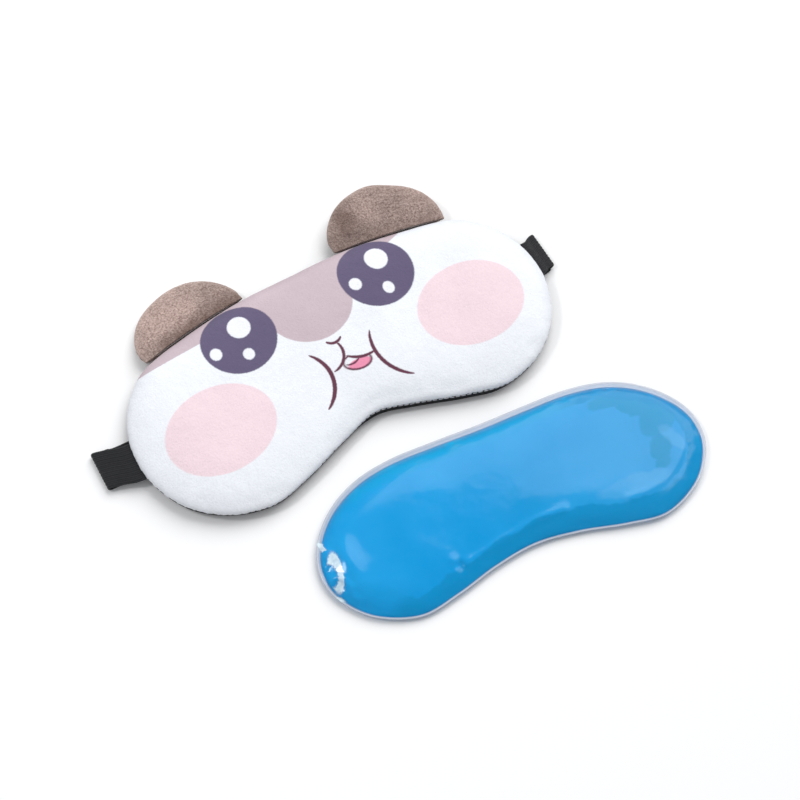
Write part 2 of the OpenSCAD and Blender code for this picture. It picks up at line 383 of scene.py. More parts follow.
class Shader:
    """Builds one node material. Inputs may be numbers, colours or other nodes' outputs."""

    def __init__(self, name):
        self.material = bpy.data.materials.new(name)
        self.material.use_nodes = True
        self.tree = self.material.node_tree
        self.tree.nodes.clear()
        out = self.tree.nodes.new("ShaderNodeOutputMaterial")
        self.bsdf = self.tree.nodes.new("ShaderNodeBsdfPrincipled")
        self.tree.links.new(self.bsdf.outputs[0], out.inputs["Surface"])
        self.rest = self.attribute("rest_mm", "Vector")

    def node(self, kind, inputs, output=0, **settings):
        """Adds a node with its settings, feeds its inputs and gives back one of its outputs."""
        node = self.tree.nodes.new("ShaderNode" + kind)
        for key, value in settings.items():
            setattr(node, key, value)
        for socket, value in inputs.items():
            self.put(node.inputs[socket], value)
        return node.outputs[output]

    def attribute(self, name, output="Fac"):
        return self.node("Attribute", {}, output, attribute_name=name)

    def put(self, socket, value):
        if isinstance(value, bpy.types.NodeSocket):
            self.tree.links.new(value, socket)
        elif isinstance(value, tuple) and socket.type == "RGBA":
            socket.default_value = (*value, 1)
        else:
            socket.default_value = value

    def set(self, **values):
        """Sets the surface's own sockets, such as Roughness=0.5."""
        for key, value in values.items():
            self.put(self.bsdf.inputs[key.replace("_", " ")], value)

    def math(self, operation, a, b=0.0, clamp=False):
        return self.node("Math", {0: a, 1: b}, operation=operation, use_clamp=clamp)

    def add(self, a, b):
        return self.math("ADD", a, b)

    def less(self, a, b):
        return self.math("SUBTRACT", a, b)

    def times(self, a, *others):
        for b in others:
            a = self.math("MULTIPLY", a, b)
        return a

    def either(self, *masks):
        joined = masks[0]
        for mask in masks[1:]:
            joined = self.math("MAXIMUM", joined, mask)
        return joined

    def without(self, a, b):
        return self.times(a, self.less(1.0, b))

    def axes(self, vector):
        return self.node("SeparateXYZ", {0: vector}, slice(None))

    def vector_math(self, operation, a, b):
        return self.node("VectorMath", {0: a, 1: b}, operation=operation)

    def noise(self, scale, detail=2.0, rough=0.5, stretch=None, output="Fac"):
        place = self.vector_math("MULTIPLY", self.rest, stretch) if stretch else self.rest
        inputs = {"Vector": place, "Scale": scale, "Detail": detail, "Roughness": rough}
        return self.node("TexNoise", inputs, output)

    def cells(self, scale):
        """Distance to the nearest of many scattered points, for tufts of pile."""
        return self.node("TexVoronoi", {"Vector": self.rest, "Scale": scale}, "Distance")

    def mix(self, share, a, b):
        return self.node("Mix", {0: share, 6: a, 7: b}, 2, data_type="RGBA")

    def shaded(self, colour, share):
        """The colour made lighter or darker by a factor."""
        return self.node("VectorMath", {0: colour, "Scale": share}, operation="SCALE")

    def remap(self, value, low, high, to_low=0.0, to_high=1.0):
        return self.node("MapRange", dict(enumerate((value, low, high, to_low, to_high))))

    def wave(self, value, pitch):
        return self.math("SINE", self.times(value, math.tau / pitch))

    def bump(self, height, distance, strength=1.0, normal=None):
        inputs = {"Strength": strength, "Distance": distance, "Height": height}
        if normal is not None:
            inputs["Normal"] = normal
        return self.node("Bump", inputs)


class Print(Shader):
    """Flat shapes in millimetres over the rest place, their edges roughened by noise."""

    def __init__(self, name, roughness, grain):
        super().__init__(name)
        jitter = self.vector_math("SUBTRACT", self.noise(grain, 3, 0.6, output="Color"), (0.5, 0.5, 0.5))
        jitter = self.vector_math("MULTIPLY", jitter, (roughness,) * 3)
        self.x, self.y, _ = self.axes(self.vector_math("ADD", self.rest, jitter))

    def cover(self, signed, soft=0.6):
        """1 where the signed distance is below zero, with a soft edge."""
        return self.math("SUBTRACT", 0.5, self.math("DIVIDE", signed, soft), clamp=True)

    def polar(self, cx, cy, turn):
        """Place measured from a point along axes turned by an angle in degrees."""
        dx, dy = self.less(self.x, cx), self.less(self.y, cy)
        c, s = math.cos(math.radians(turn)), math.sin(math.radians(turn))
        u = self.add(self.times(dx, c), self.times(dy, s))
        v = self.less(self.times(dy, c), self.times(dx, s))
        return u, v

    def length(self, u, v):
        return self.math("SQRT", self.add(self.times(u, u), self.times(v, v)))

    def ellipse(self, cx, cy, rx, ry, turn=0.0, soft=0.6):
        u, v = self.polar(cx, cy, turn)
        out = self.less(self.length(self.times(u, 1 / rx), self.times(v, 1 / ry)), 1.0)
        return self.cover(self.times(out, min(rx, ry)), soft)

    def ellipses(self, *rows):
        return self.either(*(self.ellipse(*row) for row in rows))

    def beyond(self, px, py, angle, soft=0.6):
        """1 on the side of the line through a point that the angle, in degrees, points to."""
        u, _ = self.polar(px, py, angle)
        return self.cover(self.times(u, -1.0), soft)

    def arc(self, cx, cy, radius, start, end, width, soft=0.5):
        """A drawn line along an arc, thinner at its ends."""
        u, v = self.polar(cx, cy, (start + end) / 2)
        half = math.radians(abs(end - start) / 2)
        share = self.math("DIVIDE", self.math("ABSOLUTE", self.math("ARCTAN2", v, u)), half)
        taper = self.math("SQRT", self.math("SUBTRACT", 1.0, self.math("POWER", share, 3.0), clamp=True))
        off = self.math("ABSOLUTE", self.less(self.length(u, v), radius))
        drawn = self.cover(self.less(off, self.times(taper, width / 2)), soft)
        return self.times(drawn, self.math("LESS_THAN", share, 1.0))


# Ink and cloth colours, linear
WHITE_PLUSH = (0.87, 0.895, 0.94)
BROW = (0.585, 0.475, 0.515)
EYE_INK = (0.130, 0.108, 0.19)
CHEEK = (0.885, 0.70, 0.745)
LINE_INK = (0.14, 0.045, 0.075)
TONGUE = (0.86, 0.30, 0.45)
BLACK_CLOTH = (0.006, 0.006, 0.007)
BLACK_TAPE = (0.008, 0.008, 0.009)


def lighter(colour, factor, lift):
    """A paler version of a colour, for the high threads of a weave."""
    return tuple(min(1, c * factor + lift) for c in colour)


def face_plush():
    """Short white pile printed with a simple animal face, with painted shade towards the seam."""
    s = Print("face_plush", 0.6, 1.4)
    colour = WHITE_PLUSH
    # A darker brow: a rounded dip between the eyes, and a band that runs out along the top seam
    dip = s.either(s.ellipse(-1.5, 30, 21, 21.6), s.times(s.beyond(0, 30, 90), s.ellipse(-1.5, 38, 36, 30)))
    left = s.times(s.beyond(-36, 0, 180), s.without(s.beyond(-62, 34.9, 92), s.ellipse(-78, 26, 15, 8.2, 8)))
    right = s.times(s.beyond(22, 0, 0), s.beyond(47.5, 40.6, 115), s.beyond(0, 36, 90))
    colour = s.mix(s.either(dip, left, right), colour, BROW)
    cheeks = s.ellipses((-64.2, -8.3, 25.4, 20.8), (63.6, -7.6, 25.6, 21))
    colour = s.mix(cheeks, colour, CHEEK)
    eyes = s.ellipses((-37.4, 27.9, 17.5, 18.2), (33.6, 28.2, 17.7, 19.0))
    colour = s.mix(eyes, colour, EYE_INK)
    lights = s.ellipses(
        (-34.6, 33.5, 5.3, 6.1), (-49.8, 25.7, 2.7, 3.3), (-36.8, 18.4, 2.6, 3),
        (37.4, 34.7, 5.3, 6.3), (22.2, 26.7, 2.9, 3.4), (34.7, 17.7, 2.6, 3.3),
    )
    colour = s.mix(lights, colour, (0.88, 0.89, 0.95))
    lip = s.ellipse(10.4, 5, 13.1, 13.1)
    opening = s.without(s.ellipse(3.9, -8.6, 6.4, 3.9, -14), lip)
    colour = s.mix(s.times(opening, s.ellipse(4.5, -10.3, 5.8, 2.7, -4)), colour, TONGUE)
    rim = s.without(s.ellipse(3.9, -8.6, 6.9, 4.4, -14), s.ellipse(3.9, -8.6, 5.9, 3.4, -14))
    arcs = (
        (-0.2, 8.6, 4.2, 205, 325, 1.5), (-8.2, 0.7, 9, -88, 25, 1.5), (10.4, 5, 13.1, 222, 284, 1.5),
        (1.6, -3.4, 5.4, 235, 320, 0.9), (-27, -7.4, 17.6, -62, 43, 2.0), (34.4, -8, 21.1, 150, 239, 1.8),
    )
    lines = s.either(*(s.arc(*arc) for arc in arcs), s.without(rim, lip))
    colour = s.mix(lines, colour, LINE_INK)
    tufts = s.noise(1.1, 4, 0.7)
    lay = s.noise(0.06, 3, 0.55)
    # The edge mask is painted shade that darkens the plush towards the seam; tufts and lay vary its tone at
    # random.
    shade = s.times(
        s.remap(tufts, 0.3, 0.7, 0.94, 1.02),
        s.remap(lay, 0.3, 0.7, 0.97, 1.02),
        s.remap(s.attribute("edge"), 0, 1, 1.0, 0.84),
    )
    normal = s.bump(tufts, 0.0004, 0.4, s.bump(s.cells(1.1), 0.0004, 0.2))
    s.set(Base_Color=s.shaded(colour, shade), Roughness=0.95, Sheen_Weight=0.25, Sheen_Roughness=0.5,
          Specular_IOR_Level=0.12, Normal=normal)
    return s.material


def ear_plush():
    """Brown short pile, mottled where it lies in different directions, with painted light, painted rim light
    and painted shade from each ear's masks.
    """
    s = Shader("ear_plush")
    tufts = s.noise(1.0, 5, 0.75)
    grains = s.cells(1.1)
    lay = s.noise(0.085, 3, 0.6)
    speckle = s.mix(s.remap(tufts, 0.36, 0.62), (0.195, 0.130, 0.112), (0.475, 0.362, 0.325))
    colour = s.shaded(speckle, s.remap(lay, 0.35, 0.65, 0.74, 1.12))
    # Painted light: paler pile where the ear faces the light.
    colour = s.mix(s.times(s.attribute("pale"), 0.62), colour, s.shaded(speckle, 1.75))
    # Painted rim light: a paler fringe along the ear's rim.
    colour = s.mix(s.times(s.attribute("edge"), 0.4), colour, (0.62, 0.48, 0.43))
    # Painted shade in the fold along the seam, with a darker patch and random mottle.
    colour = s.mix(s.times(s.attribute("folded"), 0.7), colour, (0.135, 0.08, 0.062))
    normal = s.bump(tufts, 0.0009, 0.8, s.bump(grains, 0.0006, 0.5))
    s.set(Base_Color=colour, Roughness=0.95, Sheen_Weight=0.5, Sheen_Roughness=0.4,
          Sheen_Tint=(0.9, 0.78, 0.72), Specular_IOR_Level=0.12, Normal=normal)
    return s.material


def woven_cloth(name, colour, pitch=0.5):
    """Plain woven cloth, its threads crossing at the given pitch."""
    s = Shader(name)
    x, y, z = s.axes(s.rest)
    weave = s.times(s.wave(s.add(x, z), pitch), s.wave(s.add(y, z), pitch))
    uneven = s.noise(0.25, 4, 0.6)
    shade = s.mix(s.remap(s.add(weave, uneven), -0.6, 1.6), colour, lighter(colour, 1.8, 0.003))
    normal = s.bump(weave, 0.00015, 0.8, s.bump(uneven, 0.0008, 0.4))
    s.set(Base_Color=shade, Roughness=0.9, Sheen_Weight=0.04, Sheen_Roughness=0.5, Specular_IOR_Level=0.2,
          Normal=normal)
    return s.material


def elastic_band():
    """Black knitted elastic: fine cross threads over ribs that the mesh has."""
    s = Shader("elastic_band")
    x, y, z = s.axes(s.rest)
    threads = s.wave(s.add(x, s.times(z, 0.7)), 0.6)
    knit = s.math("SINE", s.add(s.times(y, math.tau / 0.95), s.times(threads, 1.2)))
    dust = s.noise(0.7, 4, 0.7)
    colour = s.mix(s.remap(s.add(knit, dust), -0.6, 1.7), (0.006, 0.006, 0.007), (0.026, 0.027, 0.031))
    normal = s.bump(knit, 0.00016, 0.9, s.bump(dust, 0.0003, 0.3))
    s.set(Base_Color=colour, Roughness=0.6, Sheen_Weight=0.05, Sheen_Roughness=0.4, Specular_IOR_Level=0.3,
          Normal=normal)
    return s.material


def loop_tape():
    s = Shader("loop_tape")
    fuzz = s.noise(2.2, 5, 0.75)
    colour = s.mix(s.remap(fuzz, 0.35, 0.65), BLACK_TAPE, (0.045, 0.045, 0.048))
    s.set(Base_Color=colour, Roughness=0.9, Sheen_Weight=0.4, Normal=s.bump(fuzz, 0.0006, 1.0))
    return s.material


def hook_tape():
    s = Shader("hook_tape")
    grain = s.noise(1.5, 3, 0.6)
    s.set(Base_Color=s.mix(grain, BLACK_TAPE, (0.03, 0.03, 0.033)), Roughness=0.4,
          Normal=s.bump(grain, 0.0002, 0.4))
    return s.material


def wadding():
    s = Shader("wadding")
    fibres = s.noise(0.8, 6, 0.75, stretch=(1, 0.35, 1))
    colour = s.mix(s.remap(fibres, 0.3, 0.7), (0.70, 0.70, 0.68), (0.90, 0.90, 0.88))
    s.set(Base_Color=colour, Roughness=1.0, Sheen_Weight=0.4, Normal=s.bump(fibres, 0.0012, 0.9))
    return s.material


def thread(name, colour):
    s = Shader(name)
    x, y, z = s.axes(s.rest)
    twist = s.wave(s.add(s.add(x, y), s.times(z, 2)), 0.5)
    shade = s.mix(s.remap(twist, -1, 1), colour, lighter(colour, 1.5, 0.01))
    s.set(Base_Color=shade, Roughness=0.6, Sheen_Weight=0.2, Normal=s.bump(twist, 0.0001, 0.7))
    return s.material


def gel():
    """Thick blue gel: paler where the film lifts off it, deeper where the film clings, with a painted
    reflection over its right half and painted shade along its lower edge and right end.
    """
    s = Print("gel", 5.0, 0.16)
    cloud = s.noise(0.03, 3, 0.55)
    colour = s.mix(s.remap(cloud, 0.35, 0.65), (0.003, 0.310, 0.690), (0.012, 0.345, 0.735))
    # Clearer, greener gel by the upper edge
    depth = s.attribute("depth")
    upper = s.remap(s.add(s.y, s.times(depth, -1.6)), 5, 24)
    colour = s.mix(s.times(upper, 0.75), colour, (0.006, 0.37, 0.62))
    # Painted reflection: a pale, more muted right half
    colour = s.mix(s.times(s.remap(s.x, -10, 70), 0.45), colour, (0.045, 0.33, 0.65))
    shadows = s.ellipses((5, -8, 17, 7, 8, 9), (-70, -24, 15, 6, -24, 6))
    colour = s.mix(s.times(shadows, 0.5), colour, (0.001, 0.275, 0.61))
    # Patches at the right end where the film clings to the gel, and a lifted tongue beside them
    clinging = s.ellipses(
        (70, 17, 11, 9, -20, 0.9), (73, 4, 9, 7, 20, 0.9), (69, -8, 6.5, 5, 60, 0.9),
        (66, -15, 4, 2.6, 10, 0.9), (56, 21, 8, 3.4, -10, 0.9),
    )
    colour = s.mix(s.times(clinging, 0.7), colour, (0.0, 0.27, 0.52))
    tongue = s.ellipses((50, -19.5, 17, 4.6, -3, 1.2), (76, -6, 3, 8, 20, 1.0))
    colour = s.mix(s.times(tongue, 0.35), colour, (0.12, 0.44, 0.78))
    # Painted shade: a deeper band along the lower edge and round the right end
    band = s.less(depth, s.add(9.0, s.times(s.less(s.noise(0.05, 3, 0.6), 0.5), 11.0)))
    side = s.either(s.beyond(-38, -14, -62, soft=6), s.beyond(62, 6, 6, soft=5))
    band = s.times(s.cover(band, 1.0), side)
    colour = s.mix(s.times(band, 0.8), colour, (0.0, 0.26, 0.55))
    ripple = s.noise(0.05, 3, 0.5)
    s.set(Base_Color=colour, Roughness=0.13, Subsurface_Weight=0.1, Subsurface_Scale=0.002,
          Subsurface_Radius=(0.2, 0.6, 1.0), Specular_IOR_Level=0.22, Normal=s.bump(ripple, 0.0015, 0.25))
    return s.material


def film():
    """Clear soft film: it whitens where two films are welded together, and painted highlights whiten the
    folds at its left tip, where the film lifts off the gel.
    """
    s = Print("film", 1.6, 0.7)
    weld = s.attribute("weld")
    ripple = s.noise(0.12, 4, 0.55)
    # Painted highlights: pale patches on the folds at the left tip, where the film lifts off the gel, on the
    # upper film only.
    folds = s.ellipses((-85.8, 8.4, 1.2, 3.8, 14, 0.7), (-86.9, -16.0, 0.8, 2.6, 38, 0.7))
    hollow = s.ellipse(-86.6, -5.4, 2.5, 4.8, -6, 0.7)
    lifted = s.either(s.without(s.ellipse(-84.4, -4.9, 3.2, 9.6, -10, 0.7), hollow), folds)
    uneven = s.remap(s.noise(0.35, 3, 0.6), 0.3, 0.6, 0.78, 0.95)
    lifted = s.times(lifted, uneven, s.attribute("upper"))
    colour = s.mix(weld, (0.0, 0.30, 0.70), (0.70, 0.72, 0.775))
    # Where the painted highlights lie, the film turns pale blue-white and nearly opaque.
    s.set(Base_Color=s.mix(lifted, colour, (0.74, 0.90, 0.97)), Roughness=0.1,
          Alpha=s.math("MAXIMUM", s.remap(weld, 0, 1, 0.004, 0.62), lifted), Specular_IOR_Level=0.5,
          Normal=s.bump(ripple, 0.0012, 0.2))
    return s.material


# -------- the mask's cover

MASK_OUTLINE = smooth_loop(both_halves(MASK_SHAPE), 16) * (MASK_HALF / 102.27)
CROWN_RUN = 40.0  # how far in from the seam the crown keeps rising
LIP = 0.3  # how far the plush's edge stands over the seam, and the back fabric's below it


def fullness(t):
    """How full the padding is, from the seam at 0 to the crown's level top at 1."""
    return (1 - (1 - np.clip(t, 0, 1)) ** 3) ** 0.7


def crown_height(depth, top, edge=0.0):
    """Height of the padded front at a depth in from the seam."""
    return SEAM_Z + edge + (top - SEAM_Z - edge) * fullness(depth / CROWN_RUN)


def tucked(x, y):
    """Where the front pulls in along the right of the nose notch and bares the back fabric, from 0 to 1."""
    return ease((x + 12) / 10) * ease((62 - x) / 14) * ease((-18 - y) / 6)


def front_height(plan):
    """The front's height with the soft dents and the puckers that stuffing and a seam give it."""
    x, y = plan.xy.T
    puckers = along_edge(plan, 8.0, 3.1) * 0.4 * bell((plan.depth - 2.8) / 2.6)
    soft = (wobble(x, y, 30, 1.7) * 0.4 + wobble(x, y, 13, 2.9) * 0.15) * ease(plan.depth / 12)
    bared = 0.8 * tucked(x, y) * bell(plan.depth / 2.5)
    return crown_height(plan.depth, CROWN_Z - 0.15, LIP) + puckers + soft + bared


def build_front():
    """The printed plush front."""
    plan = Plan(MASK_OUTLINE, 1.0, 0.85)
    under = Plan(MASK_OUTLINE, 1.0, 3.0)
    x, y = plan.xy.T
    pile = (wobble(x, y, 1.4, 5.2) * 0.045 + wobble(x, y, 3.1, 8.4) * 0.06) * ease(plan.depth / 0.8)
    roll = (1.0 + 0.2 * along_edge(plan, 1.8, 4.4)) * bell((plan.depth - 1.3) / 1.5)
    roll = roll * (1 - 0.8 * tucked(x, y)) - 0.25
    roll *= 1 - 0.7 * ease((y - 36) / 5)  # less of it along the top, where the ears are sewn in
    top = stack(plan, front_height(plan) + pile, roll)
    low = stack(under, np.maximum(front_height(under) - PLUSH_T, SEAM_Z + 0.05), -0.5)
    low[under.border] = top[plan.border] - [0, 0, LIP - 0.02]
    front = make_object("plush_front", *shell(plan, top, low, under))
    # Painted shade: the edge mask darkens the plush near the seam, and all of the hidden underside.
    add_masks(front, edge=np.concatenate([bell(plan.depth / 2.6), np.ones(len(low))]))
    dress(front, face_plush(), "face_plush", "front_panel", body="mask")


def build_inner_layers():
    """Wadding and lining behind the plush."""
    plan = Plan(MASK_OUTLINE * 0.972, 2.4, rows=(0.0, 0.9))
    x, y = plan.xy.T
    ceiling = crown_height(plan.depth + 2.5, CROWN_Z) - PLUSH_T - 1.1
    lumps = wobble(x, y, 9, 2.2) * 0.2 * ease(plan.depth / 10)
    top = np.maximum(ceiling + lumps, SEAM_Z + 0.55)
    low = np.maximum(ceiling - 1.5, SEAM_Z + 0.3)
    pad = make_object("wadding_front", *shell(plan, stack(plan, top), stack(plan, low)))
    dress(pad, wadding(), "wadding", "front_padding", body="mask")
    high = np.maximum(ceiling - 1.62, SEAM_Z + 0.2)
    lining = make_object("lining", *shell(plan, stack(plan, high), stack(plan, high - 0.2)))
    dress(lining, woven_cloth("lining_cloth", (0.62, 0.63, 0.66)), "lining", "pocket_lining", body="mask")


def back_height(x, y, depth):
    """Height of the back fabric's outer face: on the table, but for the strap and the closure."""
    rounded = (SEAM_Z - LIP) * (1 - quarter_round(depth / 11.0))
    strap = 1.4 * ease((11.4 - np.abs(y - 2)) / 1.4)
    along = ease((FLAP_HIGH[0] + 1.6 - np.abs(x)) / 1.2)
    across = ease((y - FLAP_LOW[1] + 1.2) / 1.0) * ease((FLAP_HIGH[1] + 1.6 - y) / 1.2)
    return np.maximum.reduce([rounded, strap, LOOP_HIGH[2] * along * across])


def beside_line(outline, line_y, side):
    """The part of an outline on one side of a level line, in order."""
    keep = (outline[:, 1] - line_y) * side > 0
    start = next(i for i in range(len(outline)) if keep[i] and not keep[i - 1])
    part = np.roll(outline, -start, axis=0)[:keep.sum()]

    def crossing(p, q):
        return p + (q - p) * (line_y - p[1]) / (q[1] - p[1])

    return np.vstack([crossing(outline[start - 1], part[0]), part,
                      crossing(part[-1], outline[(start + len(part)) % len(outline)])])


def build_back():
    """Two back panels that meet beside the mouth and leave it open between them."""
    half, reach = 57.8, 2.4  # half the mouth's length, and each panel's distance from its middle line
    cloth = woven_cloth("back_cloth", BLACK_CLOTH)
    for name, node, side in (("back_upper", "back_panel_upper", 1), ("back_lower", "back_panel_lower", -1)):
        part = beside_line(MASK_OUTLINE, MOUTH_Y, side)
        end = half if part[-1][0] > 0 else -half
        lip_y = MOUTH_Y + side * reach
        mouth = [(end, MOUTH_Y), (end, lip_y), (-end, lip_y), (-end, MOUTH_Y)]
        plan = Plan(np.vstack([part, mouth]), 1.5, rows=(0.0, 0.7))
        plan.measure_from(MASK_OUTLINE)
        x, y = plan.xy.T
        depth = plan.depth
        z = back_height(x, y, depth)
        lifted = ease((z - 0.2) / 1.0) * ease((depth - 2) / 8)
        slack = wobble(x, y, 16, 4.4) * 0.25 * lifted
        slack += wobble(plan.along, depth, 4.5, 1.2) * 0.25 * bell((depth - 4) / 3)
        z = np.maximum(z + slack, 0.0)
        bulge = (0.75 * bell((depth - 1.3) / 1.6) - 0.2) * ease(depth / 0.3 + 0.4)
        bulge += 0.9 * tucked(x, y) * bell((depth - 0.7) / 1.6) * ease(depth / 0.3)
        inner = np.minimum(z + 0.5, SEAM_Z - 0.03)
        high = stack(plan, np.maximum(inner, z + 0.04))
        panel = make_object(name, *shell(plan, high, stack(plan, z, bulge)))
        dress(panel, cloth, "back_fabric", node, body="mask")
    return cloth


def build_seams():
    """Seam stitches round the edge, tacks at the mouth's ends and rows over the strap's sewn ends."""
    edge = at_steps(MASK_OUTLINE * 0.9975, 1.5)
    path = np.column_stack([edge, np.full(len(edge), SEAM_Z)])
    seam = stitches("seam_stitches", [np.vstack([path, path[:1]])], 2.6, 2.1, 0.22)
    dress(seam, thread("white_thread", (0.66, 0.67, 0.72)), "thread", "seam_thread", body="mask")

    black = thread("black_thread", (0.022, 0.022, 0.025))
    low, high = box_mm("mouth_bar_tacks")
    rows = [
        [(x - 1.3, y, high[2] - 0.3), (x + 1.3, y + 0.2, high[2] - 0.3)]
        for x in (1.2 - high[0], high[0] - 1.2)
        for y in np.arange(low[1] + 0.2, high[1], 0.42)
    ]
    tacks = stitches("mouth_tacks", rows, 9, 2.5, 0.24)
    dress(tacks, black, "dark_thread", "mouth_bar_tacks", body="mask")

    low, high = box_mm("strap_end_stitching")
    rows = []
    for side in (-1, 1):
        for shift in (-0.6, 0.0, 0.6):
            x = side * (high[0] - 0.9) + shift
            rows.append([(x, side - 8.8, low[2] + 0.2), (x, side + 8.8, low[2] + 0.2)])
    ends = stitches("strap_end_stitches", rows, 1.9, 1.6, 0.16)
    dress(ends, black, "dark_thread", "strap_end_stitching", body="mask")
    return black


# -------- pocket closure


def slab(name, plan, low, high, top_relief=0.0, low_relief=0.0):
    """A flat piece with softly rounded edges."""
    thick = high - low
    edge = 0.35 * thick * (1 - quarter_round(plan.depth / 0.5))
    top = stack(plan, high - edge + top_relief)
    return make_object(name, *shell(plan, top, stack(plan, low + edge + low_relief)))


def build_closure(cloth, black):
    """The flap over the pocket's mouth, with a hook strip on it and a loop strip on the mask."""
    plan = Plan(rounded_box(FLAP_LOW[:2], (FLAP_HIGH[0], FLAP_HIGH[1] + 0.6), 2.0), 1.3, rows=(0.0, 0.5))
    x, y = plan.xy.T
    free = np.minimum(np.minimum(x - FLAP_LOW[0], FLAP_HIGH[0] - x), y - FLAP_LOW[1])
    hem = 0.16 * ease((free - 3.4) / 0.5)
    drape = wobble(x, y, 9, 6.1) * 0.05
    flap = slab("flap", plan, 0.0, FLAP_HIGH[2], -0.02, hem + np.maximum(drape, 0))
    dress(flap, cloth, "back_fabric", "closure_flap")
    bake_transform(flap)

    hem_in = 2.2
    x0, x1, y0, y1 = FLAP_LOW[0] + hem_in, FLAP_HIGH[0] - hem_in, FLAP_LOW[1] + hem_in, FLAP_HIGH[1] - 4
    z = 0.04
    row = [(x1, y1, z), (x1, y0, z), (x0, y0, z), (x0, y1, z)]
    hem_rows = stitches("flap_stitches", [row], 2.8, 2.1, 0.12)
    dress(hem_rows, black, "dark_thread", body="pocket_flap")

    for name, low, high, material, node, body in (
        ("hook_tape", HOOK_LOW, HOOK_HIGH, hook_tape(), "hook_strip", "pocket_flap"),
        ("loop_tape", LOOP_LOW, LOOP_HIGH, loop_tape(), "loop_strip", "mask"),
    ):
        plan = Plan(rounded_box(low[:2], high[:2], 0.8), 0.5, rows=(0.0, 0.3))
        x, y = plan.xy.T
        middle = ease((plan.depth - 0.9) / 0.3)
        if name == "hook_tape":
            relief = 0.22 * np.maximum(np.sin(x * math.tau / 1.5) * np.sin(y * math.tau / 1.4), 0)
            tape = slab(name, plan, low[2] + 0.02, high[2] - 0.24, relief * middle)
        else:
            relief = (0.12 + 0.1 * wobble(x, y, 0.9, 3.3)) * middle
            tape = slab(name, plan, low[2] + 0.24, high[2] - 0.02, low_relief=-relief)
        dress(tape, material, name, node, body=body)


# -------- strap


def build_strap():
    """One ribbed elastic band: out of the left seam, folded under the mask, and back into the right seam."""
    flat = 0.62
    route = smooth_path([
        (-98.5, -1, SEAM_Z), (-103, -1, SEAM_Z), (-107, -0.2, 4.7), (-112, 2, 3.6), (-117.2, 3.6, 3),
        (-118.2, 3.8, 2.65), (-118.6, 3.9, 1.8), (-118.2, 3.9, 0.95), (-117.2, 3.9, flat), (-112, 3.6, flat),
        (-104, 2.4, flat), (-60, 2, flat), (0, 2, flat), (60, 2, flat), (103, 2.4, flat), (109.4, 4, flat),
        (110.4, 4.1, 0.95), (110.8, 4.1, 1.8), (110.4, 4, 2.65), (109.4, 3.9, 3), (107, 3, 3.6),
        (105, 1.5, 4.7), (103, 1, SEAM_Z), (98.5, 1, SEAM_Z),
    ], 8)
    run = np.gradient(route, axis=0)
    run[:, 1] = 0
    run /= norm(run, axis=1)[:, None]
    sides = np.tile([0, 1.0, 0], (len(route), 1))
    ups = np.column_stack([-run[:, 2], np.zeros(len(run)), run[:, 0]])
    width, thick, ribs = 19.0, 1.15, 11
    across = np.linspace(-width / 2 + 0.25, width / 2 - 0.25, ribs * 4 + 1)
    phase = (across / (width - 0.5) + 0.5) * ribs * math.tau + math.pi
    rib = thick / 2 - 0.17 * (0.5 - 0.5 * np.cos(phase))
    profile = list(zip(across, rib)) + [(width / 2, 0.25), (width / 2, -0.25)]
    profile += [(a, -b) for a, b in zip(across[::-1], rib[::-1])] + [(-width / 2, -0.25), (-width / 2, 0.25)]
    points, faces = sweep(route, sides, ups, profile)
    along = run_along(route)
    flat_rest = np.column_stack([np.repeat(along, len(profile)), np.tile(profile, (len(route), 1))])
    strap = make_object("strap", points, faces, rest=flat_rest)
    dress(strap, elastic_band(), "elastic", "elastic_strap", body="mask")


# -------- ears

# Each ear's rim from its inner end to its outer end: along the seam, and out from it
LEFT_RIM = [
    (0.6, 0), (1.6, 6.5), (4.8, 13.6), (10, 20), (17, 24.2), (24.7, 26), (33.5, 25.2), (41.5, 22.7),
    (48, 18.3), (53, 11.6), (55, 5), (54.6, 0),
]
RIGHT_RIM = [
    (-1.6, 0), (-2.3, 6.5), (-0.2, 13), (5, 20), (11.6, 24.6), (19.3, 27.2), (26, 27.7), (34, 25.2),
    (42, 21.6), (48, 16.6), (52, 10.2), (53.7, 4), (54.2, 0),
]
EAR_FRONT, EAR_BACK = 4.0, 2.7
EAR_MIDDLE = 27.0
SEAM_SLOPE = math.radians(9.3)  # of the mask's top seam where the ears are sewn in


def ear_heights(plan, rim, seed):
    """How full the ear is over its plan: rounded at the rim, pinched where it meets the seam."""
    x, y = plan.xy.T
    to_rim = nearest_on(plan.xy, rim, closed=False)[0]
    round_rim = quarter_round(to_rim / 13) ** 0.9
    pinch = 0.46 + 0.54 * ease((y + 0.5) / 9)
    dents = 1 + 0.10 * wobble(x, y, 11, seed) + 0.05 * wobble(x, y, 5, seed + 1)
    return round_rim * pinch * dents, to_rim


